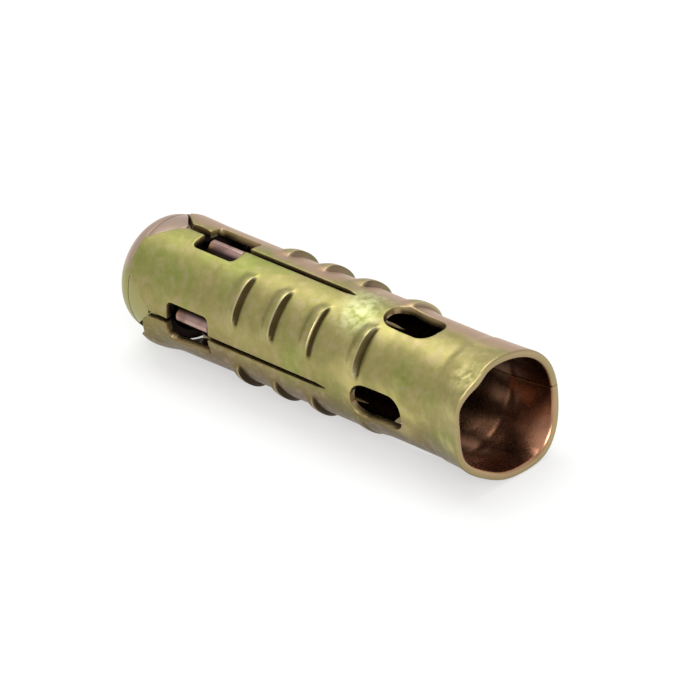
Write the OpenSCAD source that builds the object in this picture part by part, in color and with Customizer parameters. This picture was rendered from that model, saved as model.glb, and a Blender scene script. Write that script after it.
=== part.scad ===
/* [Sleeve] */
// Length of the sleeve from the tips of its segments to the mouth rim
sleeve_length = 49.5; // [46:0.5:60]
// Outer diameter of the four segments
sleeve_d = 14; // [13:0.1:15]
// Thickness of the rolled sheet
sheet = 0.9; // [0.8:0.05:1.0]
// Depth of the waist between the segments and the collar below the segments
neck_step = 0.15; // [0.05:0.05:0.3]
// Distance from the tips of the segments to the start of the waist
neck_start = 37; // [35.5:0.5:38]
// Length over which the segments narrow to the waist
neck_run = 3; // [1.5:0.5:4]
// Length of the collar between its crease and the mouth rim
collar_length = 5.2; // [4:0.1:6]
// Height by which the crease steps the collar outwards
crease_step = 0.15; // [0.05:0.05:0.25]
// Width of the crease along the sleeve
crease_run = 0.5; // [0.3:0.1:1]
// Height of the flared mouth rim above the segments
rim_flare = 0.6; // [0.2:0.05:0.7]
// Size of the worn edge on the mouth rim
rim_edge = 0.15; // [0.05:0.05:0.3]
// Gap of the butt seam where the rolled sheet closes
seam_gap = 0.15; // [0.1:0.05:0.4]

/* [Slots] */
// Number of slots, which is also the number of segments
slots = 4; // [4:1:4]
// Width of the narrow slits
slit_width = 0.5; // [0.3:0.05:0.8]
// Distance from the tips of the segments to the pointed end of the long slit
slit_end = 29.2; // [27:0.1:30]
// Length of the point at the end of the long slit
slit_point = 1.6; // [0.5:0.1:3]
// Distance from the tips of the segments to the window
window_start = 6.2; // [5.8:0.1:6.8]
// Length of the window along the sleeve
window_length = 6.3; // [5.6:0.1:6.6]
// Width of the window around the sleeve
window_width = 4.7; // [3:0.1:5]
// Corner radius of the window
window_corner = 0.7; // [0.3:0.1:1.4]
// Length of the oval hole in front of each slit
oval_length = 7.1; // [5:0.1:7.6]
// Width of the oval hole
oval_width = 4.3; // [3:0.1:4.8]
// Distance from the middle of the oval hole to the mouth rim
oval_to_rim = 12.5; // [11:0.1:13]
// Distance from the tip of a segment to the end of its bevelled corner
tip_length = 3.5; // [2:0.1:4.5]
// Width of each bevelled corner of a tip
tip_bevel = 3.4; // [2:0.1:4]

/* [Barbs] */
// Distance from the tips of the segments to the crest of the first barb
barb_first = 16.4; // [15.5:0.1:17]
// Distance between the crests of the first three barbs
barb_pitch = 5.4; // [4.5:0.1:5.8]
// Distance from the third crest to the last one
barb_last_gap = 6.7; // [6:0.1:7]
// Height of a barb's crest above the segment
barb_height = 0.6; // [0.4:0.05:0.7]
// Half of the angle that a barb spans around the sleeve
barb_half_angle = 27; // [22:1:30]
// Length of the ramp on the tail side of a barb
barb_ramp = 1.7; // [1.2:0.1:2.6]
// Length of the steep face on the mouth side of a barb
barb_drop = 0.3; // [0.3:0.05:0.8]
// Width of the flat on a barb's crest
barb_flat = 0.3; // [0.1:0.05:0.5]

/* [Cone nut] */
// Core diameter of the nut's metric thread, nominal size 8
core_d = 6.65; // [5:0.05:6.9]
// Size of the chamfer at both ends of the thread
core_chamfer = 0.6; // [0.3:0.1:0.9]
// Depth by which the rounded nose stays below the sleeve's outside
nose_depth = 0.4; // [0.2:0.05:0.7]
// Height of the rounded nose, taken to its full point
nose_height = 3.825; // [3:0.005:5]
// Gap between the nose's shoulder and the tips of the segments
nose_gap = 0.1; // [0.05:0.05:0.3]
// Length of the cylindrical land inside the sleeve
nose_land = 4.6; // [4:0.1:5]
// Diameter of the waist between the land and the wedge
waist_d = 9.6; // [9:0.1:10.4]
// Distance from the tips of the segments to the wedge's back face
wedge_start = 7.1; // [7.1:0.1:7.3]
// Length of the wedge
wedge_length = 10.1; // [8:0.1:12]
// Width of the wedge across its flats
wedge_flats = 9.5; // [9:0.1:10]
// Height by which the wedge narrows from the windows to its front
wedge_taper = 1; // [0.5:0.1:1.5]
// Depth by which the wedge's guide corners stay below the sleeve's outside
corner_depth = 0.5; // [0.3:0.05:0.6]
// Length of the guide corners
corner_length = 4.7; // [4.2:0.1:4.8]
// Size of the broken edges at both ends of the guide corners
corner_edge = 0.15; // [0.05:0.05:0.3]

/* [Fits] */
// Radial clearance of the nut in the sleeve
nut_clearance = 0.1; // [0.05:0.01:0.15]

/* [Hidden] */

sheet_color = "#A3A265";
nut_color = "#B29A9C";
round_faces = 96;
arc_faces = 48;
nose_steps = 9;

outer_r = sleeve_d / 2;
bore_r = outer_r - sheet;
neck_r = outer_r - neck_step;
rim_r = outer_r + rim_flare;
collar_start = sleeve_length - collar_length;
oval_centre = sleeve_length - oval_to_rim;
segment_angle = 360 / slots;
seam_angle = segment_angle;
reach = rim_r + barb_height;
overlap = 1;

barb_crest_r = outer_r + barb_height;
barb_stations = [
    barb_first,
    barb_first + barb_pitch,
    barb_first + 2 * barb_pitch,
    barb_first + 2 * barb_pitch + barb_last_gap
];
barb_root = 0.04;
barb_sweep = 48;
press_sweep = 60;

land_r = bore_r - nut_clearance;
nose_r = outer_r - nose_depth;
core_r = core_d / 2;
nose_mouth_r = core_r + core_chamfer;
nose_mouth_angle = acos(nose_mouth_r / nose_r);
nose_tip = -nose_gap - nose_height * sin(nose_mouth_angle);
corner_r = outer_r - corner_depth;
corner_end = wedge_start + corner_length;
wedge_end = wedge_start + wedge_length;
wedge_end_r = land_r - wedge_taper;

axis_height = rim_r;
mid_station = (sleeve_length + nose_tip) / 2;

// Distance from the sleeve's axis to the centre of the arc on which a barb
// is drawn, so that the arc tops out at crest and leaves the wall at the barb's ends
function arc_offset(wall_r, crest) =
    (crest * crest - wall_r * wall_r) / (2 * (crest - wall_r * cos(barb_half_angle)));

// Radius about the arc's own centre at which the point turned by angle lies
// at distance from the sleeve's axis
function arc_radius(offset, angle, distance) =
    sqrt(distance * distance - pow(offset * sin(angle), 2)) - offset * cos(angle);

// Lays a shape drawn along Z down along X, mouth towards +X, on the ground
module lay_down() {
    translate([-mid_station, 0, axis_height]) rotate([0, 90, 0]) children();
}

// Section of the sheet along the sleeve, with its waist, crease and flared rim
module sheet_section() {
    collar_r = neck_r + crease_step;
    polygon([
        [bore_r, 0],
        [outer_r, 0],
        [outer_r, neck_start - neck_run],
        [neck_r, neck_start],
        [neck_r, collar_start],
        [collar_r, collar_start + crease_run],
        [rim_r, sleeve_length - rim_edge],
        [rim_r - rim_edge, sleeve_length],
        [rim_r - sheet, sleeve_length],
        [collar_r - sheet, collar_start + crease_run],
        [neck_r - sheet, collar_start],
        [neck_r - sheet, neck_start],
        [bore_r, neck_start - neck_run]
    ]);
}

// Section of a barb: a long ramp from the tail, a narrow crest and a steep face,
// standing on the wall and carried down to its base
module barb_section(base_r, wall_r, crest_r) {
    polygon([
        [base_r, -barb_ramp],
        [wall_r, -barb_ramp],
        [crest_r, -barb_flat],
        [crest_r, 0],
        [wall_r, barb_drop],
        [base_r, barb_drop]
    ]);
}

// Ridge of a barb on the outside of a segment
module barb_ridge() {
    offset_r = arc_offset(outer_r, barb_crest_r);
    base_r = arc_radius(offset_r, barb_sweep, bore_r + barb_root);
    translate([offset_r, 0, 0])
        rotate_extrude(angle = 2 * barb_sweep, start = -barb_sweep, $fn = round_faces)
            barb_section(base_r, outer_r - offset_r, barb_crest_r - offset_r);
}

// Hollow that the press leaves behind a barb on the inside of a segment
module barb_hollow() {
    crest_r = barb_crest_r - sheet;
    offset_r = arc_offset(bore_r, crest_r);
    base_r = bore_r - offset_r - overlap;
    translate([offset_r, 0, 0])
        rotate_extrude(angle = 2 * press_sweep, start = -press_sweep, $fn = round_faces)
            barb_section(base_r, bore_r - offset_r, crest_r - offset_r);
}

// Puts a copy at each barb of each segment
module at_barbs() {
    for (turn = [0 : slots - 1], station = barb_stations)
        rotate([0, 0, (turn + 0.5) * segment_angle])
            translate([0, 0, station])
                children();
}

// Rectangle with round corners, centred on X and standing on Y = 0
module rounded_window(width, length, corner) {
    inner = width / 2 - corner;
    translate([-inner, 0]) square([2 * inner, length]);
    translate([-width / 2, corner]) square([width, length - 2 * corner]);
    for (x = [-inner, inner], y = [corner, length - corner])
        translate([x, y]) circle(r = corner, $fn = arc_faces);
}

// Outline of one slot on the flat sheet, from the segment tips to the oval hole
module slot_outline() {
    half = slit_width / 2;
    // Bevelled corners of the two tips beside the slot
    polygon([
        [-half - tip_bevel, -overlap],
        [half + tip_bevel, -overlap],
        [half + tip_bevel, 0],
        [half, tip_length],
        [-half, tip_length],
        [-half - tip_bevel, 0]
    ]);
    // Short slit, then the long slit with its pointed end
    polygon([
        [-half, 0],
        [half, 0],
        [half, slit_end - slit_point],
        [0, slit_end],
        [-half, slit_end - slit_point]
    ]);
    translate([0, window_start])
        rounded_window(window_width, window_length, window_corner);
    translate([0, oval_centre - oval_length / 2])
        rounded_window(oval_width, oval_length, oval_width / 2 - slit_width / 2);
}

// One slot cut through the wall towards +X
module slot_cut() {
    rotate([90, 0, 90]) linear_extrude(height = reach) slot_outline();
}

// Butt seam from the tip of the long slit to the mouth rim
module seam_cut() {
    start = slit_end - slit_point;
    translate([0, -seam_gap / 2, start])
        cube([reach, seam_gap, sleeve_length - start + overlap]);
}

// Sleeve of rolled sheet with four barbed segments and a flared collar
module expansion_sleeve() {
    color(sheet_color)
        lay_down()
            difference() {
                union() {
                    rotate_extrude($fn = round_faces) sheet_section();
                    at_barbs() barb_ridge();
                }
                at_barbs() barb_hollow();
                for (turn = [0 : slots - 1])
                    rotate([0, 0, turn * segment_angle]) slot_cut();
                rotate([0, 0, seam_angle]) seam_cut();
            }
}

// Half section of the nut's round body: nose with its shoulder, land and waist, around the thread
module nose_section() {
    step = nose_mouth_angle / nose_steps;
    polygon(concat(
        [[core_r, wedge_start + overlap], [core_r, nose_tip + core_chamfer]],
        [for (i = [nose_steps : -1 : 0])
            [nose_r * cos(i * step), -nose_gap - nose_height * sin(i * step)]],
        [
            [land_r, -nose_gap],
            [land_r, nose_land],
            [waist_d / 2, nose_land],
            [waist_d / 2, wedge_start + overlap]
        ]
    ));
}

// Envelope that leaves the guide corners long enough for the windows and tapers the front
module wedge_envelope() {
    rotate_extrude($fn = round_faces)
        polygon([
            [0, wedge_start],
            [corner_r - corner_edge, wedge_start],
            [corner_r, wedge_start + corner_edge],
            [corner_r, corner_end - corner_edge],
            [corner_r - corner_edge, corner_end],
            [land_r, corner_end],
            [wedge_end_r, wedge_end],
            [0, wedge_end]
        ]);
}

// Square wedge whose four corners ride in the windows of the sleeve
module wedge() {
    side = wedge_flats;
    intersection() {
        rotate([0, 0, segment_angle / 2])
            translate([-side / 2, -side / 2, wedge_start])
                cube([side, side, wedge_length]);
        wedge_envelope();
    }
}

// Core hole of the thread through the wedge, with a lead-in at the front
module wedge_core() {
    rotate_extrude($fn = round_faces)
        polygon([
            [0, wedge_start - overlap],
            [core_r, wedge_start - overlap],
            [core_r, wedge_end - core_chamfer],
            [core_r + core_chamfer + overlap, wedge_end + overlap],
            [0, wedge_end + overlap]
        ]);
}

// Threaded nut with a rounded nose and a square wedge, one forging
module cone_nut() {
    color(nut_color)
        lay_down() {
            rotate_extrude($fn = round_faces) nose_section();
            difference() {
                wedge();
                wedge_core();
            }
        }
}

expansion_sleeve();
cone_nut();
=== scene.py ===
import math

import bmesh
import bpy
from mathutils import Matrix, Vector


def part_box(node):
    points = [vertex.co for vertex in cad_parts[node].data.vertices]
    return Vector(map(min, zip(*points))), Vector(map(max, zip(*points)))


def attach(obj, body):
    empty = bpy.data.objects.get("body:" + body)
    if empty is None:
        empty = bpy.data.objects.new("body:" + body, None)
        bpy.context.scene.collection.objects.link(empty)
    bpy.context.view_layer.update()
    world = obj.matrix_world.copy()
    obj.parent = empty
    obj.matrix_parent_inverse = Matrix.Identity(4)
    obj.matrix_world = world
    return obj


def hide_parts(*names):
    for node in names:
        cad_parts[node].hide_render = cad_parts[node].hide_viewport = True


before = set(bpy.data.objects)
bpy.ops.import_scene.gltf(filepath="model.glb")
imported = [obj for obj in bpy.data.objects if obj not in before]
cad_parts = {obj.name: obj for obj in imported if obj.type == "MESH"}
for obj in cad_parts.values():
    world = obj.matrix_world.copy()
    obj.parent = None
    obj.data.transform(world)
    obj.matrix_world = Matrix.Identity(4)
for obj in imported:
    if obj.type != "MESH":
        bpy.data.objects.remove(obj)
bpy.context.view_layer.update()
mm = 0.001
sleeveLow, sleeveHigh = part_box("expansion_sleeve")
tipX = sleeveLow.x                                # tips of the segments
mouthX = sleeveHigh.x                             # mouth rim
axisZ = (sleeveLow.z + sleeveHigh.z) / 2          # the sleeve's axis runs along X at this height
print("frame loaded")


# Selection and editing

def pickAlone(obj):
    bpy.ops.object.select_all(action="DESELECT")
    obj.select_set(True)
    bpy.context.view_layer.objects.active = obj


def openEdit(obj, kind="VERT"):
    pickAlone(obj)
    bpy.ops.object.mode_set(mode="EDIT")
    bpy.ops.mesh.select_mode(type=kind)
    bpy.ops.mesh.select_all(action="DESELECT")


def closeEdit():
    bpy.ops.object.mode_set(mode="OBJECT")


def applyModifier(obj, kind, **settings):
    pickAlone(obj)
    modifier = obj.modifiers.new(kind.lower(), kind)
    for key, value in settings.items():
        setattr(modifier, key, value)
    bpy.ops.object.modifier_apply(modifier=modifier.name)


def smoothShade(obj, angle):
    pickAlone(obj)
    bpy.ops.object.shade_smooth_by_angle(angle=math.radians(angle))


def smoothStep(low, high, value):
    t = min(1.0, max(0.0, (value - low) / (high - low)))
    return t * t * (3 - 2 * t)


def hump(value, centre, width):
    return math.exp(-((value - centre) / width) ** 2)


# The sleeve starts as a flat blank of sheet, in millimetres: X round the sleeve, Y along it from the
# tips, Z through the sheet with the outside at 0. It is punched, edged, copied and then rolled.
sleeve = {
    "length": (mouthX - tipX) / mm,
    "radius": 7.0,
    "sheet": 0.9,
    "segments": 4,
    "cell": 0.36,             # widest cell of the blank
    "edgeRound": 0.09,        # worn round of every cut edge
    "edgeClear": 0.08,        # how far the next points stay clear of that round
    "rimRound": 0.28,         # the mouth rim is rounder than the punched edges
    "seamGap": 0.06,
    "smoothUnder": 40,        # degrees between faces that are shaded smooth
    "neckStep": 0.22,
    "neckStart": 37.0,
    "neckRun": 3.0,
    "collarLength": 5.2,
    "creaseStep": 0.12,
    "creaseRun": 0.7,
    "rimRadius": (sleeveHigh.z - sleeveLow.z) / 2 / mm,
}
slot = {
    "slitHalf": 0.25,
    "slitEnd": 29.2,
    "slitPoint": 1.6,
    "windowStart": 6.2,
    "windowLength": 6.3,
    "windowHalf": 2.35,
    "windowCorner": 0.7,
    "ovalLength": 7.1,
    "ovalHalf": 2.15,
    "ovalCorner": 1.9,
    "ovalToRim": 12.5,
    "tipLength": 3.5,
    "tipBevel": 3.4,
}
barb = {
    "first": 16.4,
    "pitch": 5.4,
    "lastGap": 6.7,
    "height": 0.6,
    "halfAngle": 26.5,
    "ramp": 1.7,
    "flat": 0.3,
    "drop": 0.3,
    "soft": 0.06,             # rounding of the pressed crest along the sleeve
    "fullness": 3.6,          # how far the crest keeps its height towards its ends
}
# Sizes in millimetres by which the mouth leaves the round, turns and widths in degrees from the
# front upwards
mouth = {
    "oval": 0.52,             # the mouth is squeezed out of round, widest towards the front
    "ovalTurn": 36.0,
    "threeSided": 0.18,
    "threeTurn": 20.0,
    "bulge": 0.6,
    "bulgeTurn": -16.0,
    "bulgeWidth": 32.0,
    "dent": 0.5,
    "dentTurn": 55.0,
    "dentWidth": 11.0,
    "lowBulge": 0.55,
    "lowTurn": -130.0,
    "lowWidth": 28.0,
    "topFlat": 0.2,
    "topTurn": 110.0,
    "topWidth": 42.0,
    "frontBulge": 0.5,
    "frontTurn": 27.0,
    "frontWidth": 11.0,
    "skew": 0.4,              # the cut of the mouth runs out a little at its low back corner
    "skewTurn": -112.0,
    "skewWidth": 38.0,
    "sideLimit": 0.44,        # how far it may stand out beyond the round rim, sideways and downwards
    "lowLimit": 0.14,
    "limitSharp": 24,         # how suddenly it is held back there
}
irregular = {
    "slotTurn": [0, -4.0, 0],             # degrees by which the lower, front and top slot are off place
    "slitLonger": [0, 1.1, -0.4],         # by how much each of their long slits runs on
    "lowTipTrim": 1.6,                    # the front lower segment is short at its tip and sprung outwards
    "topGap": 0.45,                       # by how much the top slot stands open between tip and window
    "topSlit": 0.22,                      # and over the rest of its free length
    "lowLift": 0.3,
    "lowTipLift": 0.45,
    "lowTabFill": 0.9,                    # its tip is hardly bevelled on the front side
    "backTipLift": 0.12,
    "backTipCurl": -0.4,                  # the back upper segment is curled in at the very tip
    "barbTurn": [0, 0, -3.0, -3.0],       # degrees, for the back lower, front lower, front upper, back upper
    "barbHeight": [[1, 1, 1, 1], [1, 0.85, 0.8, 0.3], [1, 1.05, 1.05, 1.25], [1.05, 1.1, 1.05, 0.9]],
    "barbRamp": [1.7, 1.7, 1.9, 2.5],     # mm, and their shift towards the mouth, per segment like the turn
    "barbShift": [[0, 0, 0, 0], [0, 0, 0, 0.2], [0, 0, 0.1, 0.3], [0, 0, 0, 0.6]],
}
ovalCentre = sleeve["length"] - slot["ovalToRim"]
collarStart = sleeve["length"] - sleeve["collarLength"]
barbStations = [barb["first"] + i * barb["pitch"] for i in range(3)]
barbStations.append(barbStations[-1] + barb["lastGap"])
quarter = 2 * math.pi * sleeve["radius"] / sleeve["segments"]
tiny = 0.001                  # mm, under which two places on the blank are the same


def boxDistance(x, y, halfX, halfY, corner):
    dx = abs(x) - halfX + corner
    dy = abs(y) - halfY + corner
    return math.hypot(max(dx, 0), max(dy, 0)) + min(max(dx, dy), 0) - corner


def slotDistance(x, y):
    # Distance from the outline of one slot, negative inside it; x from the slot's middle, y from the tips
    side = abs(x)
    half = slot["slitHalf"]
    point = math.hypot(slot["slitPoint"], half)
    slit = max(side - half, (side * slot["slitPoint"] + (y - slot["slitEnd"]) * half) / point)
    slope = math.hypot(slot["tipLength"], slot["tipBevel"])
    tip = ((side - half) * slot["tipLength"] + (y - slot["tipLength"]) * slot["tipBevel"]) / slope
    middle = slot["windowStart"] + slot["windowLength"] / 2
    window = boxDistance(x, y - middle, slot["windowHalf"], slot["windowLength"] / 2, slot["windowCorner"])
    oval = boxDistance(x, y - ovalCentre, slot["ovalHalf"], slot["ovalLength"] / 2, slot["ovalCorner"])
    return min(slit, tip, window, oval)


def nearestSlot(x):
    # Distance round the blank from the middle of the nearest slot
    return x - quarter / 2 if x > 0 else x + quarter / 2


def pushTo(co, wanted):
    # Moves a point of the blank straight away from the slot's outline until it is that far from it
    for i in range(4):
        x = nearestSlot(co.x)
        d = slotDistance(x, co.y)
        gx = (slotDistance(x + tiny, co.y) - slotDistance(x - tiny, co.y)) / (2 * tiny)
        gy = (slotDistance(x, co.y + tiny) - slotDistance(x, co.y - tiny)) / (2 * tiny)
        size = max(0.2, gx * gx + gy * gy)
        co.x += (wanted - d) * gx / size
        co.y += (wanted - d) * gy / size


def spread(lines, widest):
    # The given lines, with more between them so that no cell is wider than widest
    lines = sorted(set(round(v, 4) for v in lines))
    out = [lines[0]]
    for a, b in zip(lines, lines[1:]):
        count = max(1, math.ceil((b - a) / widest - 0.05))
        out += [a + (b - a) * (i + 1) / count for i in range(count)]
    return out


def blankRows():
    lines = [0, slot["tipLength"], sleeve["neckStart"] - sleeve["neckRun"], sleeve["neckStart"],
             collarStart, collarStart + sleeve["creaseRun"] / 2, collarStart + sleeve["creaseRun"],
             slot["slitEnd"] - slot["slitPoint"], slot["slitEnd"], sleeve["length"]]
    for start, length, corner in (
        (slot["windowStart"], slot["windowLength"], slot["windowCorner"]),
        (ovalCentre - slot["ovalLength"] / 2, slot["ovalLength"], slot["ovalCorner"]),
    ):
        lines += [start, start + corner, start + length - corner, start + length]
    soft = barb["soft"]
    for s in barbStations:
        lines += [s - barb["ramp"], s - barb["flat"] - soft, s - barb["flat"] + soft / 2, s - soft / 2,
                  s + soft / 2, s + soft, s + barb["drop"] - soft, s + barb["drop"] + soft / 2]
    return spread(lines, sleeve["cell"])


def blankColumns():
    side = [0, slot["slitHalf"], slot["windowHalf"] - slot["windowCorner"], slot["windowHalf"],
            slot["slitHalf"] + slot["tipBevel"], quarter / 2]
    right = [quarter / 2 - v for v in spread(side, sleeve["cell"])]
    return sorted(set(round(v, 5) for v in right + [-v for v in right]))


def makeSegmentBlank():
    # One segment's share of the sheet, scored along every row and column, then punched
    bpy.ops.object.select_all(action="DESELECT")
    bpy.ops.mesh.primitive_plane_add(size=1, location=(0, 0, 0))
    blank = bpy.context.object
    blank.name = "segmentBlank"
    blank.data.transform(Matrix.Diagonal((quarter, sleeve["length"], 1, 1)))
    blank.data.transform(Matrix.Translation((0, sleeve["length"] / 2, 0)))
    openEdit(blank)
    scores = [((x, 0, 0), (1, 0, 0)) for x in blankColumns()[1:-1]]
    scores += [((0, y, 0), (0, 1, 0)) for y in blankRows()[1:-1]]
    for place, normal in scores:
        bpy.ops.mesh.select_all(action="SELECT")
        bpy.ops.mesh.bisect(plane_co=place, plane_no=normal, threshold=0.0001)
    bpy.ops.mesh.select_all(action="DESELECT")
    bpy.ops.mesh.select_mode(type="FACE")
    closeEdit()
    for face in blank.data.polygons:
        face.select = slotDistance(nearestSlot(face.center.x), face.center.y) < 0
    bpy.ops.object.mode_set(mode="EDIT")
    bpy.ops.mesh.delete(type="FACE")
    closeEdit()
    fitToOutline(blank)
    return blank


def fitToOutline(blank):
    # Brings the punched edge onto the slot's outline, and clears the next row of points from it
    bm = bmesh.new()
    bm.from_mesh(blank.data)
    clear = sleeve["edgeRound"] + sleeve["edgeClear"]
    for vert in bm.verts:
        x, y = nearestSlot(vert.co.x), vert.co.y
        onSide = abs(abs(vert.co.x) - quarter / 2) < tiny
        onEnd = y < tiny or y > sleeve["length"] - tiny
        away = slotDistance(x, y)
        if vert.is_boundary and not onSide and away < sleeve["cell"]:
            if onEnd:
                continue
            pushTo(vert.co, 0)
        elif vert.is_boundary and onSide and abs(away) < 0.3 and not onEnd:
            if len(vert.link_faces) == 1:
                pushTo(vert.co, 0)
        elif away < clear and not onSide and not onEnd:
            pushTo(vert.co, clear)
    bm.to_mesh(blank.data)
    bm.free()


def layOutBlank(blank):
    # Four segments side by side, joined where the slots are closed, with the seam at both ends
    openEdit(blank)
    bpy.ops.mesh.select_all(action="SELECT")
    bpy.ops.transform.translate(value=(-1.5 * quarter, 0, 0))
    for i in range(sleeve["segments"] - 1):
        bpy.ops.mesh.duplicate()
        bpy.ops.transform.translate(value=(quarter, 0, 0))
    bpy.ops.mesh.select_all(action="SELECT")
    bpy.ops.mesh.remove_doubles(threshold=0.002)
    closeEdit()
    end = 2 * quarter
    for vert in blank.data.vertices:
        if abs(abs(vert.co.x) - end) < sleeve["seamGap"] / 2:
            vert.co.x = math.copysign(end - sleeve["seamGap"] / 2, vert.co.x)


def thickenBlank(blank):
    applyModifier(blank, "SOLIDIFY", thickness=sleeve["sheet"], offset=-1)
    mesh = blank.data
    flat = {}
    for face in mesh.polygons:
        for key in face.edge_keys:
            flat.setdefault(key, []).append(abs(face.normal.z) > 0.5)
    atRim = [vert.co.y > sleeve["length"] - tiny for vert in mesh.vertices]
    small = sleeve["edgeRound"] / sleeve["rimRound"]
    weights = []
    for edge in mesh.edges:
        weight = 1.0 if all(atRim[v] for v in edge.vertices) else small
        weights.append(weight if len(set(flat[edge.key])) == 2 else 0.0)
    mesh.attributes.new("bevel_weight_edge", "FLOAT", "EDGE")
    mesh.attributes["bevel_weight_edge"].data.foreach_set("value", weights)
    applyModifier(blank, "BEVEL", width=sleeve["rimRound"], segments=3, limit_method="WEIGHT",
                  offset_type="OFFSET", use_clamp_overlap=False)


def markPoints(mesh, name, values):
    mesh.attributes.new(name, "FLOAT", "POINT")
    mesh.attributes[name].data.foreach_set("value", values)


def markSheet(blank):
    # Tells the finish which points lie on the inside of the sheet, on its cut edges and in the slits, where the
    # cut edges get painted shade
    depth, edge = sleeve["sheet"], sleeve["edgeRound"]
    inside, cut, slit = [], [], []
    for vert in blank.data.vertices:
        down = -vert.co.z
        inside.append(smoothStep(0.3 * depth, 0.7 * depth, down))
        cut.append(smoothStep(0, edge, down) * smoothStep(0, edge, depth - down))
        # cut edges inside the slits are marked for painted shade
        inSlit = abs(nearestSlot(vert.co.x)) < 2 * slot["slitHalf"] and vert.co.y < slot["slitEnd"] + 0.1
        slit.append(0.9 * smoothStep(0, 0.3, down) if inSlit else 0.0)
    markPoints(blank.data, "insideFace", inside)
    markPoints(blank.data, "cutEdge", cut)
    markPoints(blank.data, "paintedSlitShade", slit)


def rimShape(turn):
    # Outer radius of the mouth rim at that turn in degrees
    def at(name, width):
        away = (turn - mouth[name] + 180) % 360 - 180
        return hump(away, 0, mouth[width])
    r = (sleeve["rimRadius"]
         + mouth["oval"] * math.cos(2 * math.radians(turn - mouth["ovalTurn"]))
         + mouth["threeSided"] * math.cos(3 * math.radians(turn - mouth["threeTurn"]))
         + mouth["bulge"] * at("bulgeTurn", "bulgeWidth")
         - mouth["dent"] * at("dentTurn", "dentWidth")
         + mouth["lowBulge"] * at("lowTurn", "lowWidth")
         - mouth["topFlat"] * at("topTurn", "topWidth")
         + mouth["frontBulge"] * at("frontTurn", "frontWidth"))
    side = abs(math.cos(math.radians(turn)))
    down = max(0.0, -math.sin(math.radians(turn)))
    # Rounds off where it would reach too far sideways or below the floor
    sharp = mouth["limitSharp"]
    closeness = ((r * side / (sleeve["rimRadius"] + mouth["sideLimit"])) ** sharp
                 + (r * down / (sleeve["rimRadius"] + mouth["lowLimit"])) ** sharp)
    return r / (1 + closeness) ** (1 / sharp)


def wallRadius(turn, y):
    r = sleeve["radius"] - sleeve["neckStep"] * smoothStep(
        sleeve["neckStart"] - sleeve["neckRun"], sleeve["neckStart"], y)
    r += sleeve["creaseStep"] * smoothStep(collarStart, collarStart + sleeve["creaseRun"], y)
    if y > collarStart:
        share = (y - collarStart) / sleeve["collarLength"]
        r += (rimShape(turn) - r) * share ** 1.5
    return r


def barbLift(turn, y):
    # Height of the pressed barb above the segment
    segmentAngle = 360 / sleeve["segments"]
    segment = min(3, max(0, int((turn + 180) // segmentAngle)))
    away = (turn + 180) % segmentAngle - segmentAngle / 2 - irregular["barbTurn"][segment]
    if abs(away) > barb["halfAngle"]:
        return 0.0
    across = 1 - (abs(away) / barb["halfAngle"]) ** barb["fullness"]
    for i, station in enumerate(barbStations):
        along = y - station - irregular["barbShift"][segment][i]
        foot = barb["drop"] + barb["soft"]
        ramp = irregular["barbRamp"][segment]
        if -ramp < along < foot:
            up = min(1.0, (along + ramp) / (ramp - barb["flat"]))
            up = 0.5 * (1 - (1 - up) ** 2) + 0.5 * smoothStep(0, 1, up)
            down = 1 - smoothStep(0, foot, along)
            # The ramp is a shallow dome: it starts later towards the barb's ends
            share = min(max(0.0, 1 - (1 - up) / max(0.08, across) ** 0.5), down)
            return barb["height"] * irregular["barbHeight"][segment][i] * across * share
    return 0.0


def shiftBlank(co):
    # What makes this sleeve's slots and tips less regular than the drawing, still on the flat blank.
    # The steps' numbers are millimetres from a slot's middle or from the tips
    x, y = co.x, co.y
    for middle, turn, longer in zip((-quarter, 0, quarter), irregular["slotTurn"], irregular["slitLonger"]):
        away = abs(x - middle)
        near = 1 - smoothStep(slot["windowHalf"] + 0.2, slot["windowHalf"] + 2.4, away)
        co.x += near * math.radians(turn) * sleeve["radius"]
        beside = 1 - smoothStep(0.8, 2.0, away)
        run = smoothStep(slot["slitEnd"] - 6, slot["slitEnd"], y) * \
            (1 - smoothStep(slot["slitEnd"], slot["slitEnd"] + 2.6, y))
        co.y += beside * run * longer
    if x > quarter:
        # The back upper segment leaves the slit wider open, most between tip and window
        wider = irregular["topGap"] * hump(y, 4.7, 1.5) + irregular["topSlit"] * (
            1 - smoothStep(slot["slitEnd"] - 2.5, slot["slitEnd"] + 0.5, y))
        co.x += wider * (1 - smoothStep(0.6, 3.4, x - quarter))
    if -quarter < x < 0:
        co.y += irregular["lowTipTrim"] * (1 - smoothStep(0, slot["windowStart"] - 0.4, y))
        co.y -= irregular["lowTabFill"] * (1 - smoothStep(0.6, 4.2, abs(x))) * hump(y, 2.4, 2.2)


def springLift(x, y):
    # How far a segment is sprung outwards, most at its tip
    free = max(0.0, 1 - y / slot["slitEnd"])
    tip = 1 - smoothStep(0, slot["windowStart"], y)
    if -quarter < x < 0:
        return irregular["lowLift"] * free + irregular["lowTipLift"] * tip
    if x > quarter:
        return irregular["backTipLift"] * tip + irregular["backTipCurl"] * (1 - smoothStep(0, 1.3, y))
    return 0.0


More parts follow.
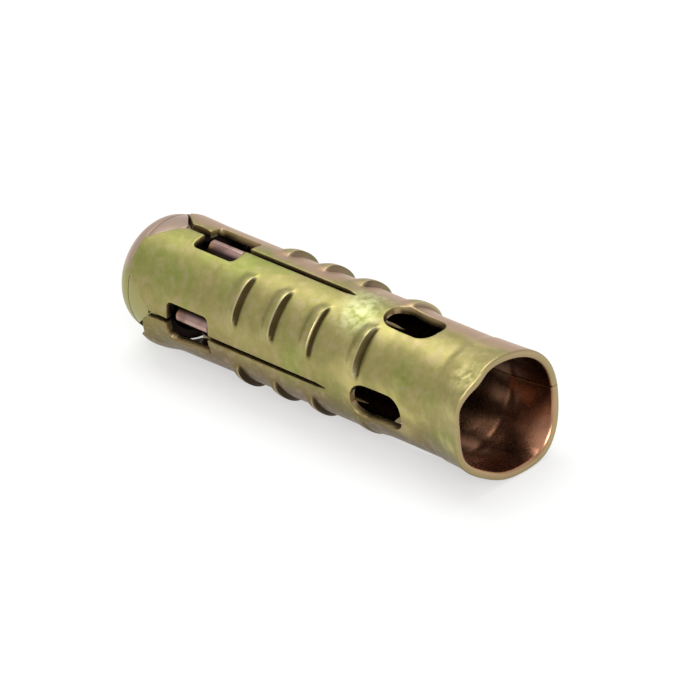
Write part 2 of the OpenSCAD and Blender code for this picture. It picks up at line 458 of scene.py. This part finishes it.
def rollBlank(blank):
    # Lifts every point by its barb and its segment's spring, and wraps the blank round the axis. It
    # also marks for the finish the barbs' steep faces, which get painted shade, and their crests and raised
    # tops
    mesh = blank.data
    steep, crest, raised = [], [], []
    reach = 0.05
    for vert in mesh.vertices:
        lift = springLift(vert.co.x, vert.co.y)
        shiftBlank(vert.co)
        turn = math.degrees(vert.co.x / sleeve["radius"])
        y = vert.co.y
        r = (wallRadius(turn, y) + barbLift(turn, y) + lift + vert.co.z) * mm
        fall = (barbLift(turn, y - reach) - barbLift(turn, y + reach)) / (2 * reach)
        drop = barbLift(turn, y - 0.35) - barbLift(turn, y + 0.03)
        steep.append(max(smoothStep(0.35, 1.2, fall), smoothStep(0.08, 0.35, drop)))
        ahead = barbLift(turn, y + 0.2) - barbLift(turn, y)
        crest.append(smoothStep(0.1, 0.3, -ahead) * (1 - smoothStep(0.5, 1.4, fall)))
        raised.append(smoothStep(0.1, 0.7, barbLift(turn, y) / barb["height"]))
        a = math.radians(turn)
        away = (turn - mouth["skewTurn"] + 180) % 360 - 180
        y += mouth["skew"] * hump(away, 0, mouth["skewWidth"]) * smoothStep(collarStart, sleeve["length"], y)
        vert.co = (tipX + y * mm, -r * math.cos(a), axisZ + r * math.sin(a))
    markPoints(mesh, "steepFace", steep)
    markPoints(mesh, "barbCrestPale", crest)
    markPoints(mesh, "barbTop", raised)
    openEdit(blank)
    bpy.ops.mesh.select_all(action="SELECT")
    bpy.ops.mesh.normals_make_consistent(inside=False)
    closeEdit()


def makeSleeve():
    blank = makeSegmentBlank()
    layOutBlank(blank)
    thickenBlank(blank)
    markSheet(blank)
    rollBlank(blank)
    smoothShade(blank, sleeve["smoothUnder"])
    blank.name = "expansionSleeve"
    print("sleeve rolled,", len(blank.data.polygons), "faces")
    return blank


# The nut is turned and milled from one forging. Its sizes are in millimetres, and its stations are
# measured from the tips of the segments like the sleeve's.
nut = {
    "noseRadius": 6.6,
    "noseHeight": 3.825,
    "noseGap": 0.1,
    "mouthRadius": 4.15,      # where the rounded nose ends at the thread
    "noseSteps": 14,
    "earLength": 3.0,         # low ears on the nose reach into the notches between the tips
    "earGap": 0.14,
    "earThick": 1.1,
    "earProud": 0.1,
    "landRadius": 6.0,
    "landEnd": 4.6,
    "waistRadius": 4.7,
    "wedgeStart": 7.1,
    "wedgeLength": 10.1,
    "wedgeFlats": 9.5,
    "cornerRadius": 6.5,
    "cornerLength": 4.7,
    "taper": 1.0,
    "brokenEdge": 0.1,
    "edgeRound": 0.07,
    "threadRoot": 3.97,
    "threadCrest": 3.35,
    "threadSunk": 0.08,       # how deep the ridge's foot sits in the wall of the bore
    "threadSteps": 40,        # per turn
    "pitch": 1.25,
    "chamfer": 0.6,
    "steps": 96,
    "smoothUnder": 30,
}
wedgeEnd = nut["wedgeStart"] + nut["wedgeLength"]
cornerEnd = nut["wedgeStart"] + nut["cornerLength"]


def atStation(along, radius=0.0):
    return Vector((tipX + along * mm, 0, axisZ + radius * mm))


def turnShape(name, profile):
    # Draws a profile of (station, radius) point by point and spins it round the sleeve's axis
    bpy.ops.object.select_all(action="DESELECT")
    bpy.ops.mesh.primitive_plane_add(size=mm, location=(0, 0, 0))
    piece = bpy.context.object
    piece.name = name
    bpy.ops.object.mode_set(mode="EDIT")
    bpy.ops.mesh.merge(type="CENTER")
    bpy.ops.transform.translate(value=atStation(*profile[0]))
    for a, b in zip(profile, profile[1:]):
        bpy.ops.mesh.extrude_region_move(
            TRANSFORM_OT_translate={"value": atStation(*b) - atStation(*a)})
    bpy.ops.mesh.select_all(action="SELECT")
    bpy.ops.mesh.spin(steps=nut["steps"], angle=2 * math.pi, center=(0, 0, axisZ), axis=(1, 0, 0))
    bpy.ops.mesh.select_all(action="SELECT")
    bpy.ops.mesh.remove_doubles(threshold=0.000002)
    bpy.ops.mesh.normals_make_consistent(inside=False)
    closeEdit()
    return piece


def combine(piece, other, operation):
    applyModifier(piece, "BOOLEAN", operation=operation, object=other, solver="EXACT")
    bpy.data.objects.remove(other)


def makeNutBody():
    end = math.acos(nut["mouthRadius"] / nut["noseRadius"])
    steps = nut["noseSteps"]
    nose = [(-nut["noseGap"] - nut["noseHeight"] * math.sin(end * i / steps),
             nut["noseRadius"] * math.cos(end * i / steps)) for i in range(steps, -1, -1)]
    land, edge = nut["landRadius"], nut["brokenEdge"]
    return turnShape("nutBody", [
        (nose[0][0], 0), *nose,
        (-nut["noseGap"] + 0.02, land + 0.15), (0.05, land),
        (nut["landEnd"] - edge, land), (nut["landEnd"], land - edge),
        (nut["landEnd"], nut["waistRadius"] + 0.3), (nut["landEnd"] + 0.3, nut["waistRadius"]),
        (nut["wedgeStart"] + 1, nut["waistRadius"]), (nut["wedgeStart"] + 1, 0)])


def makeWedge():
    # A square bar whose corners point into the windows, turned down to its envelope
    bar = nut["wedgeLength"] + 1
    bpy.ops.object.select_all(action="DESELECT")
    bpy.ops.mesh.primitive_cube_add(
        size=mm, location=atStation(nut["wedgeStart"] + nut["wedgeLength"] / 2),
        rotation=(math.radians(45), 0, 0), scale=(bar, nut["wedgeFlats"], nut["wedgeFlats"]))
    wedge = bpy.context.object
    wedge.name = "nutWedge"
    bpy.ops.object.transform_apply(location=True, rotation=True, scale=True)
    corner, edge = nut["cornerRadius"], nut["brokenEdge"]
    envelope = turnShape("wedgeEnvelope", [
        (nut["wedgeStart"], 0), (nut["wedgeStart"], corner - edge), (nut["wedgeStart"] + edge, corner),
        (cornerEnd - edge, corner), (cornerEnd, corner - edge), (cornerEnd, nut["landRadius"]),
        (wedgeEnd, nut["landRadius"] - nut["taper"]), (wedgeEnd, 0)])
    combine(wedge, envelope, "INTERSECT")
    applyModifier(wedge, "BEVEL", width=nut["edgeRound"] * mm, segments=2, limit_method="ANGLE",
                  angle_limit=math.radians(28), use_clamp_overlap=True)
    return wedge


def makeThread():
    # The ridge of a right-hand metric thread, sunk a little into the wall of the bore
    crest, root, half = nut["threadCrest"], nut["threadRoot"] + nut["threadSunk"], nut["pitch"] / 2
    start = -nut["noseGap"] - nut["noseHeight"] * 0.75 + nut["chamfer"]
    turns = (wedgeEnd - nut["chamfer"] - start) / nut["pitch"] - 1
    bpy.ops.object.select_all(action="DESELECT")
    bpy.ops.mesh.primitive_plane_add(size=mm, location=(0, 0, 0))
    ridge = bpy.context.object
    ridge.name = "nutThread"
    section = [(-half * 0.9, root), (half * 0.9, root), (half * 0.14, crest), (-half * 0.14, crest)]
    order = [0, 1, 3, 2]      # a plane's points run along its first side, then along its second
    for vert, place in zip(ridge.data.vertices, order):
        vert.co = (section[place][0] * mm, 0, section[place][1] * mm)
    ridge.location = atStation(start + half)
    steps = int(turns * nut["threadSteps"])
    applyModifier(ridge, "SCREW", axis="X", angle=turns * 2 * math.pi, screw_offset=turns * nut["pitch"] * mm,
                  steps=steps, render_steps=steps, use_normal_calculate=True)
    pickAlone(ridge)
    bpy.ops.object.transform_apply(location=True, rotation=True, scale=True)
    openEdit(ridge)
    bpy.ops.mesh.select_all(action="SELECT")
    bpy.ops.mesh.remove_doubles(threshold=0.000001)
    bpy.ops.mesh.select_all(action="DESELECT")
    bpy.ops.mesh.select_non_manifold()
    bpy.ops.mesh.fill_holes(sides=6)
    bpy.ops.mesh.select_all(action="SELECT")
    bpy.ops.mesh.normals_make_consistent(inside=False)
    closeEdit()
    return ridge


def makeEar(turn):
    # Fills the notch between two tips, nearly flush with them. It starts as a flat grid with the
    # notch's outline and is rolled like the blank
    bpy.ops.object.select_all(action="DESELECT")
    bpy.ops.mesh.primitive_grid_add(x_subdivisions=12, y_subdivisions=7, size=2, location=(0, 0, 0))
    ear = bpy.context.object
    ear.name = "nutEar"
    reach = nut["earLength"]
    for vert in ear.data.vertices:
        y = -0.5 + (reach + 0.5) * (vert.co.y + 1) / 2
        half = (slot["tipBevel"] + slot["slitHalf"]) * (1 - max(0.0, y) / slot["tipLength"]) - nut["earGap"]
        vert.co = (vert.co.x * max(0.05, half), y, 0)
    applyModifier(ear, "SOLIDIFY", thickness=nut["earThick"], offset=-1)
    applyModifier(ear, "BEVEL", width=0.08, segments=2, limit_method="ANGLE", angle_limit=math.radians(40))
    for vert in ear.data.vertices:
        y = vert.co.y
        a = vert.co.x / sleeve["radius"] + math.radians(turn)
        outer = nut["noseRadius"] + nut["earProud"] * smoothStep(-nut["noseGap"], 1.2, y)
        outer -= 0.25 * smoothStep(0.09, 0.5, -y)     # its foot dips under the nose's round
        r = (outer + vert.co.z) * mm
        vert.co = (tipX + y * mm, -r * math.cos(a), axisZ + r * math.sin(a))
    openEdit(ear)
    bpy.ops.mesh.select_all(action="SELECT")
    bpy.ops.mesh.normals_make_consistent(inside=False)
    closeEdit()
    return ear


def makeNut():
    body = makeNutBody()
    combine(body, makeWedge(), "UNION")
    root, cham = nut["threadRoot"], nut["chamfer"]
    nose = -nut["noseGap"] - nut["noseHeight"]
    noseFace = -nut["noseGap"] - nut["noseHeight"] * math.sin(math.acos(nut["mouthRadius"] / nut["noseRadius"]))
    bore = turnShape("nutBore", [
        (nose, 0), (nose, root + 0.1), (noseFace, root + 0.1), (noseFace + 0.1, root),
        (wedgeEnd - cham / 2, root), (wedgeEnd + cham, root + 1.5 * cham), (wedgeEnd + cham, 0)])
    combine(body, bore, "DIFFERENCE")
    for turn in (-90, irregular["slotTurn"][1], 90, 180):
        combine(body, makeEar(turn), "UNION")
    smoothShade(body, nut["smoothUnder"])
    thread = makeThread()
    smoothShade(thread, nut["smoothUnder"])
    pickAlone(body)
    thread.select_set(True)
    bpy.ops.object.join()
    body.name = "coneNut"
    print("nut made,", len(body.data.polygons), "faces")
    return body


sleevePiece = makeSleeve()
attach(sleevePiece, "sleeve")
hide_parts("expansion_sleeve")

nutPiece = makeNut()
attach(nutPiece, "nut")
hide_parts("cone_nut")


# Finishes

def hexColour(text):
    # sRGB hex to linear
    out = []
    for i in (1, 3, 5):
        c = int(text[i:i + 2], 16) / 255
        out.append(c / 12.92 if c <= 0.04045 else ((c + 0.055) / 1.055) ** 2.4)
    return (*out, 1)


def addNode(tree, kind, inputs=None, **settings):
    # Adds a node with its settings. An input takes a value, a hex colour or another node's output
    node = tree.nodes.new(kind)
    for key, value in settings.items():
        setattr(node, key, value)
    for socket, value in (inputs or {}).items():
        if isinstance(value, bpy.types.NodeSocket):
            tree.links.new(value, node.inputs[socket])
        else:
            node.inputs[socket].default_value = hexColour(value) if isinstance(value, str) else value
    return node


def newMaterial(name):
    material = bpy.data.materials.new(name)
    material.use_nodes = True
    material.node_tree.nodes.clear()
    return material, material.node_tree


sheetFinish = {
    "olive": "#A59C62",
    "leafGreen": "#939B50",   # where the passivation film is thicker
    # pale straw patches towards the mouth: partly passivation tone, partly painted highlight near the neck
    "strawTintAndHighlight": "#C6BA78",
    "paintedHighlights": [               # painted highlights as pale spots: mm from the tips, degrees from the front up, mm wide, share
        (47.8, 56.0, 2.4, 1.0, "#F2E6A0"),
        (30.4, 90.0, 4.0, 0.65, "#DCE3A6"),
        (31.0, 70.0, 3.6, 0.6, "#E2E4AE"),
    ],
    "mottle": "#B69C88",      # faint pinkish grey clouds
    # painted shade on the cut edges inside the slits
    "paintedSlitShade": "#453520",
    # rose over the top of the sleeve: partly passivation tint, partly painted sheen of the top side
    "rosyTintAndTopSheen": "#C2A088",
    # darker underside: painted shade, with a brownish passivation tint
    "paintedUnderShade": "#66502F",
    "cutEdge": "#A8966F",
    "crest": "#CDBF9A",
    # painted shade on the barbs' steep faces and just past their foot
    "steep": "#2A1C0C",
    # dark inside: brownish passivation, darkened further as painted shade
    "inside": "#543C2A",
    # copper-red inside patches: partly passivation colour, partly painted glow
    "insideCopperGlow": "#C68E70",
    "patch": 9.0,             # size of the colour patches in mm
    "roughness": 0.42,
    "insideRough": 0.27,      # the inside is less weathered and glossier
    "dentSize": 3.6,          # slow unevenness of the rolled sheet, mm
    "dentDepth": 0.22,
    "grainSize": 0.22,        # fine grain of the plated surface, drawn coarser than real to show, mm
    "grainDepth": 0.02,
}


def makeSheetFinish():
    # Zinc-plated steel sheet, yellow passivated: a satin olive-yellow metal whose thin film drifts
    # to green, straw and rose, with paler worn cut edges and a copper-coloured inside. Painted light is
    # laid into the colour too: painted highlight in the straw patches and spots, painted sheen in the
    # rose over the top, painted shade on the underside, the barbs' steep faces, the slit walls and the
    # inside, and a painted copper glow inside near the mouth's bottom
    material, tree = newMaterial("yellowPassivatedSheet")
    place = addNode(tree, "ShaderNodeTexCoord").outputs["Object"]
    apart = addNode(tree, "ShaderNodeSeparateXYZ", {0: place}).outputs
    part = {name: addNode(tree, "ShaderNodeAttribute", attribute_name=name).outputs["Fac"]
            for name in ("insideFace", "cutEdge", "paintedSlitShade", "steepFace", "barbCrestPale", "barbTop")}
    for name, moved, size, detail, rough, twist in (
        ("patches", (0, 0, 0), sheetFinish["patch"], 2.0, 0.5, 0.8),
        ("other", (0.013, 0.007, 0.021), sheetFinish["patch"] * 0.6, 3.0, 0.55, 0.4),
        ("small", (0, 0, 0), sheetFinish["patch"] / 9, 3.0, 0.6, 0.3),
        ("dents", (0, 0, 0), sheetFinish["dentSize"], 1.5, 0.5, 0.0),
        ("grain", (0, 0, 0), sheetFinish["grainSize"], 3.0, 0.6, 0.0),
    ):
        at = addNode(tree, "ShaderNodeMapping", {"Vector": place, "Location": moved}).outputs[0]
        part[name] = addNode(tree, "ShaderNodeTexNoise", {
            "Vector": at, "Scale": 1 / (size * mm), "Detail": detail, "Roughness": rough,
            "Distortion": twist}).outputs[0]
    # Each line works out a part from the ones before it. The turn about the axis is in degrees from
    # the front upwards and swayed by the patches, and along is in millimetres from the tips
    for name, operation, *terms in (
        ("height", "SUBTRACT", apart["Z"], axisZ),
        ("front", "MULTIPLY", apart["Y"], -1.0),
        ("turn", "ARCTAN2", "height", "front"),
        ("turn", "DEGREES", "turn"),
        ("sway", "MULTIPLY_ADD", "other", 50.0, -25.0),
        ("turn", "ADD", "turn", "sway"),
        ("along", "MULTIPLY_ADD", apart["X"], 1 / mm, -tipX / mm),
        ("shade", "MULTIPLY_ADD", "small", 0.5, 0.75),
    ):
        inputs = {i: part.get(term, term) for i, term in enumerate(terms)}
        part[name] = addNode(tree, "ShaderNodeMath", inputs, operation=operation).outputs[0]
    # Each line rises smoothly from 0 at the first number of its source to the share at the second
    for name, source, low, high, share in (
        ("green", "patches", 0.44, 0.64, 0.8),
        ("pale", "other", 0.5, 0.72, 1.0),
        ("forward", "along", 24.0, 36.0, 1.0),
        # rose over the top: partly passivation tint, partly painted sheen
        ("rosyTintAndTopSheen", "turn", 92.0, 112.0, 0.9),
        ("pastRosy", "turn", 130.0, 155.0, 1.0),
        # painted shade over the underside, from low at the front round to the bottom
        ("paintedUnderShade", "turn", 26.0, -42.0, 0.92),
        ("pastUnderShade", "turn", -105.0, -155.0, 1.0),
        ("mottle", "small", 0.48, 0.7, 0.35),
        ("broken", "small", 0.28, 0.68, 1.0),
        ("steepBack", "turn", 92.0, 120.0, 0.4),
        ("mouthSide", "along", 36.0, 50.0, 1.0),
        ("bottom", "height", 3 * mm, -4 * mm, 1.0),
        ("redPatch", "patches", 0.3, 0.62, 1.0),
    ):
        part[name] = addNode(tree, "ShaderNodeMapRange", {
            "Value": part[source], "From Min": low, "From Max": high, "To Max": share},
            interpolation_type="SMOOTHSTEP").outputs[0]
    for name, operation, *terms in (
        # straw patches on the mouth's side of the sleeve, partly painted highlight
        ("strawTintAndHighlight", "MULTIPLY", "pale", "forward"),
        ("rosyTintAndTopSheen", "SUBTRACT", "rosyTintAndTopSheen", "pastRosy"),
        ("barbTop", "MULTIPLY", "barbTop", 0.6),
        ("rosyTintAndTopSheen", "SUBTRACT", "rosyTintAndTopSheen", "barbTop"),
        ("paintedUnderShade", "SUBTRACT", "paintedUnderShade", "pastUnderShade"),
        # paler along the barb crests
        ("crest", "MULTIPLY", "barbCrestPale", 0.85),
        # painted shade on the barbs' steep faces, weaker over the top
        ("steepShare", "SUBTRACT", 0.92, "steepBack"),
        ("steep", "MULTIPLY", "steepFace", "steepShare"),
        # painted glow inside towards the mouth's bottom, in copper patches
        ("insideGlow", "MULTIPLY", "mouthSide", "bottom"),
        ("insideGlow", "MULTIPLY", "insideGlow", "redPatch"),
        ("cutEdge", "MULTIPLY", "cutEdge", 0.8),
        ("rough", "MULTIPLY_ADD", "small", 0.12, sheetFinish["roughness"] - 0.06),
        ("gloss", "MULTIPLY", "insideFace", sheetFinish["roughness"] - sheetFinish["insideRough"]),
        ("rough", "SUBTRACT", "rough", "gloss"),
    ):
        inputs = {i: part.get(term, term) for i, term in enumerate(terms)}
        part[name] = addNode(tree, "ShaderNodeMath", inputs, operation=operation).outputs[0]

    # Colours laid over each other, each by the share of the part of its name
    # The inside: its own dark colour, partly painted shade, with a painted copper glow towards the mouth's
    # bottom
    inner = addNode(tree, "ShaderNodeMix", {
        0: part["insideGlow"], 6: sheetFinish["inside"], 7: sheetFinish["insideCopperGlow"]}, data_type="RGBA").outputs[2]
    layers = [("green", sheetFinish["leafGreen"]), ("strawTintAndHighlight", sheetFinish["strawTintAndHighlight"]), ("shade", None),
              ("rosyTintAndTopSheen", sheetFinish["rosyTintAndTopSheen"]), ("paintedUnderShade", sheetFinish["paintedUnderShade"]), ("mottle", sheetFinish["mottle"])]
    # Painted highlight spots, broken up by the small noise
    for i, (spotAlong, spotTurn, size, share, paint) in enumerate(sheetFinish["paintedHighlights"]):
        a, r = math.radians(spotTurn), sleeve["radius"] * mm
        highlightSpot = (tipX + spotAlong * mm, -r * math.cos(a), axisZ + r * math.sin(a))
        gap = addNode(tree, "ShaderNodeVectorMath", {0: place, 1: highlightSpot},
                      operation="DISTANCE").outputs["Value"]
        near = addNode(tree, "ShaderNodeMapRange", {
            "Value": gap, "From Min": size * mm, "From Max": 0.3 * mm, "To Max": share},
            interpolation_type="SMOOTHSTEP").outputs[0]
        name = "spot%d" % i
        part[name] = addNode(tree, "ShaderNodeMath", {0: near, 1: part["broken"]},
                             operation="MULTIPLY").outputs[0]
        layers.append((name, paint))
    layers += [("crest", sheetFinish["crest"]), ("steep", sheetFinish["steep"]), ("insideFace", inner),
               ("cutEdge", sheetFinish["cutEdge"]), ("paintedSlitShade", sheetFinish["paintedSlitShade"])]
    colour = sheetFinish["olive"]
    for name, paint in layers:
        if paint is None:
            colour = addNode(tree, "ShaderNodeHueSaturation", {"Color": colour, "Value": part[name]}).outputs[0]
        else:
            colour = addNode(tree, "ShaderNodeMix", {0: part[name], 6: colour, 7: paint},
                             data_type="RGBA").outputs[2]

    broad = addNode(tree, "ShaderNodeBump", {
        "Height": part["dents"], "Strength": 0.6, "Distance": sheetFinish["dentDepth"] * mm})
    fine = addNode(tree, "ShaderNodeBump", {
        "Height": part["grain"], "Normal": broad.outputs[0], "Strength": 0.3,
        "Distance": sheetFinish["grainDepth"] * mm})
    shader = addNode(tree, "ShaderNodeBsdfPrincipled", {
        "Base Color": colour, "Roughness": part["rough"], "Normal": fine.outputs[0], "Metallic": 1.0})
    addNode(tree, "ShaderNodeOutputMaterial", {"Surface": shader.outputs[0]})
    return material


nutFinish = {
    "nose": "#9D9862",
    # rose on the top of the nose: partly passivation tint, partly painted sheen of the top side
    "noseRosyTopSheen": "#BCA392",
    "body": "#B4958C",
    "stain": "#836560",
    # painted shade deep inside the nut, below the reach of the corners
    "paintedDeepShade": "#2B211D",
    "roughness": 0.36,
    "patch": 2.5,             # mm
    "toolMark": 0.3,          # spacing of the turning marks, coarser than real to show, mm
    "markDepth": 0.01,
    "grainSize": 0.2,         # coarser than real to show, mm
    "grainDepth": 0.02,
}


def makeNutFinish():
    # The same passivation over turned and milled steel: pinkish grey body, olive nose, painted shade deep
    # inside
    material, tree = newMaterial("passivatedTurnedSteel")
    place = addNode(tree, "ShaderNodeTexCoord").outputs["Object"]
    apart = addNode(tree, "ShaderNodeSeparateXYZ", {0: place}).outputs
    part = {"marks": addNode(tree, "ShaderNodeTexWave", {
        "Vector": place, "Scale": 1 / (nutFinish["toolMark"] * mm) / 20, "Distortion": 0.6, "Detail": 1.0},
        bands_direction="X").outputs[1]}
    for name, size, detail, rough, twist in (
        ("patches", nutFinish["patch"], 3.0, 0.55, 0.4),
        ("grain", nutFinish["grainSize"], 3.0, 0.6, 0.0),
    ):
        part[name] = addNode(tree, "ShaderNodeTexNoise", {
            "Vector": place, "Scale": 1 / (size * mm), "Detail": detail, "Roughness": rough,
            "Distortion": twist}).outputs[0]
    for name, operation, *terms in (
        ("height", "SUBTRACT", apart["Z"], axisZ),
        ("along", "MULTIPLY_ADD", apart["X"], 1 / mm, -tipX / mm),
        ("sway", "MULTIPLY_ADD", "patches", 6 * mm, -3 * mm),
        ("high", "ADD", "height", "sway"),
        ("rough", "MULTIPLY_ADD", "patches", 0.16, nutFinish["roughness"] - 0.08),
    ):
        inputs = {i: part.get(term, term) for i, term in enumerate(terms)}
        part[name] = addNode(tree, "ShaderNodeMath", inputs, operation=operation).outputs[0]
    across = addNode(tree, "ShaderNodeCombineXYZ", {"X": part["height"], "Y": apart["Y"]}).outputs[0]
    part["radius"] = addNode(tree, "ShaderNodeVectorMath", {0: across}, operation="LENGTH").outputs["Value"]
    # Each line goes smoothly from one colour to the next between two numbers of its source. Deep
    # inside, below the reach of the corners, the nut is painted dark as painted shade
    colour = {}
    for name, source, low, high, first, second in (
        # the nose turns rose towards its top, partly as painted sheen
        ("nose", "high", 1.5 * mm, 4.5 * mm, nutFinish["nose"], nutFinish["noseRosyTopSheen"]),
        ("body", "patches", 0.45, 0.7, nutFinish["body"], nutFinish["stain"]),
        ("body", "radius", 5.9 * mm, 6.3 * mm, nutFinish["paintedDeepShade"], "body"),
        ("all", "along", 3.2, 4.2, "nose", "body"),
    ):
        share = addNode(tree, "ShaderNodeMapRange", {"Value": part[source], "From Min": low, "From Max": high},
                        interpolation_type="SMOOTHSTEP").outputs[0]
        colour[name] = addNode(tree, "ShaderNodeMix", {
            0: share, 6: colour.get(first, first), 7: colour.get(second, second)}, data_type="RGBA").outputs[2]
    broad = addNode(tree, "ShaderNodeBump", {
        "Height": part["marks"], "Strength": 0.15, "Distance": nutFinish["markDepth"] * mm})
    fine = addNode(tree, "ShaderNodeBump", {
        "Height": part["grain"], "Normal": broad.outputs[0], "Strength": 0.35,
        "Distance": nutFinish["grainDepth"] * mm})
    shader = addNode(tree, "ShaderNodeBsdfPrincipled", {
        "Base Color": colour["all"], "Roughness": part["rough"], "Normal": fine.outputs[0], "Metallic": 1.0})
    addNode(tree, "ShaderNodeOutputMaterial", {"Surface": shader.outputs[0]})
    return material


sleevePiece.data.materials.append(makeSheetFinish())
nutPiece.data.materials.clear()
nutPiece.data.materials.append(makeNutFinish())
print("finishes made")


# Room, lamps and camera

studio = {
    "floorSize": 3.0,
    "floorColour": "#F0F0EE",
    "floorGlow": 0.55,        # share of plain white that the eye and glossy surfaces see in the floor
    "worldStrength": 0.7,
    "lamps": [                # place in metres, size, watts
        ((-0.12, 0.08, 0.50), 0.40, 1.6),
        ((0.45, -0.25, 0.30), 0.25, 1.6),
    ],
}
cameraPlan = {
    "azimuth": 46.81,
    "elevation": 30.51,
    "roll": -5.56,
    "distance": 0.5346,
    "aim": (-0.00004, 0.00347, axisZ - 0.00326),
    "lens": 258.5,
}


def makeStudio():
    bpy.ops.object.select_all(action="DESELECT")
    bpy.ops.mesh.primitive_plane_add(size=studio["floorSize"], location=(0, 0, 0))
    floor = bpy.context.object
    floor.name = "floor"
    material, tree = newMaterial("paperFloor")
    path = addNode(tree, "ShaderNodeLightPath").outputs
    matt = addNode(tree, "ShaderNodeBsdfDiffuse", {"Color": studio["floorColour"]}).outputs[0]
    glow = addNode(tree, "ShaderNodeEmission", {"Color": "#FFFFFF", "Strength": 1.0}).outputs[0]
    seen = path["Is Camera Ray"]
    for ray in ("Is Glossy Ray", "Is Transmission Ray"):
        seen = addNode(tree, "ShaderNodeMath", {0: seen, 1: path[ray]}, operation="MAXIMUM").outputs[0]
    share = addNode(tree, "ShaderNodeMath", {0: seen, 1: studio["floorGlow"]}, operation="MULTIPLY").outputs[0]
    mix = addNode(tree, "ShaderNodeMixShader", {0: share, 1: matt, 2: glow}).outputs[0]
    addNode(tree, "ShaderNodeOutputMaterial", {"Surface": mix})
    floor.data.materials.append(material)
    world = bpy.data.worlds.new("studioWorld")
    bpy.context.scene.world = world
    world.use_nodes = True
    world.node_tree.nodes["Background"].inputs["Color"].default_value = (1, 1, 1, 1)
    world.node_tree.nodes["Background"].inputs["Strength"].default_value = studio["worldStrength"]
    for i, (place, size, watts) in enumerate(studio["lamps"]):
        data = bpy.data.lights.new("softLamp%d" % i, "AREA")
        data.size = size
        data.energy = watts
        lamp = bpy.data.objects.new(data.name, data)
        bpy.context.collection.objects.link(lamp)
        lamp.location = place
        lamp.rotation_euler = Vector(place).to_track_quat("Z", "Y").to_euler()


def makeCamera():
    azimuth, elevation, roll = (math.radians(cameraPlan[k]) for k in ("azimuth", "elevation", "roll"))
    back = Vector((math.sin(azimuth) * math.cos(elevation), -math.cos(azimuth) * math.cos(elevation),
                   math.sin(elevation)))
    right = Vector((0, 0, 1)).cross(back).normalized()
    up = back.cross(right)
    turned = Matrix.Rotation(roll, 3, back)
    right, up = turned @ right, turned @ up
    data = bpy.data.cameras.new("photoCamera")
    data.lens = cameraPlan["lens"]
    data.clip_start, data.clip_end = 0.01, 10
    camera = bpy.data.objects.new("photoCamera", data)
    bpy.context.collection.objects.link(camera)
    place = Vector(cameraPlan["aim"]) + back * cameraPlan["distance"]
    camera.matrix_world = Matrix.Translation(place) @ Matrix((right, up, back)).transposed().to_4x4()
    bpy.context.scene.camera = camera


makeStudio()
makeCamera()
bpy.context.scene.view_settings.view_transform = "Standard"
print("studio and camera placed")
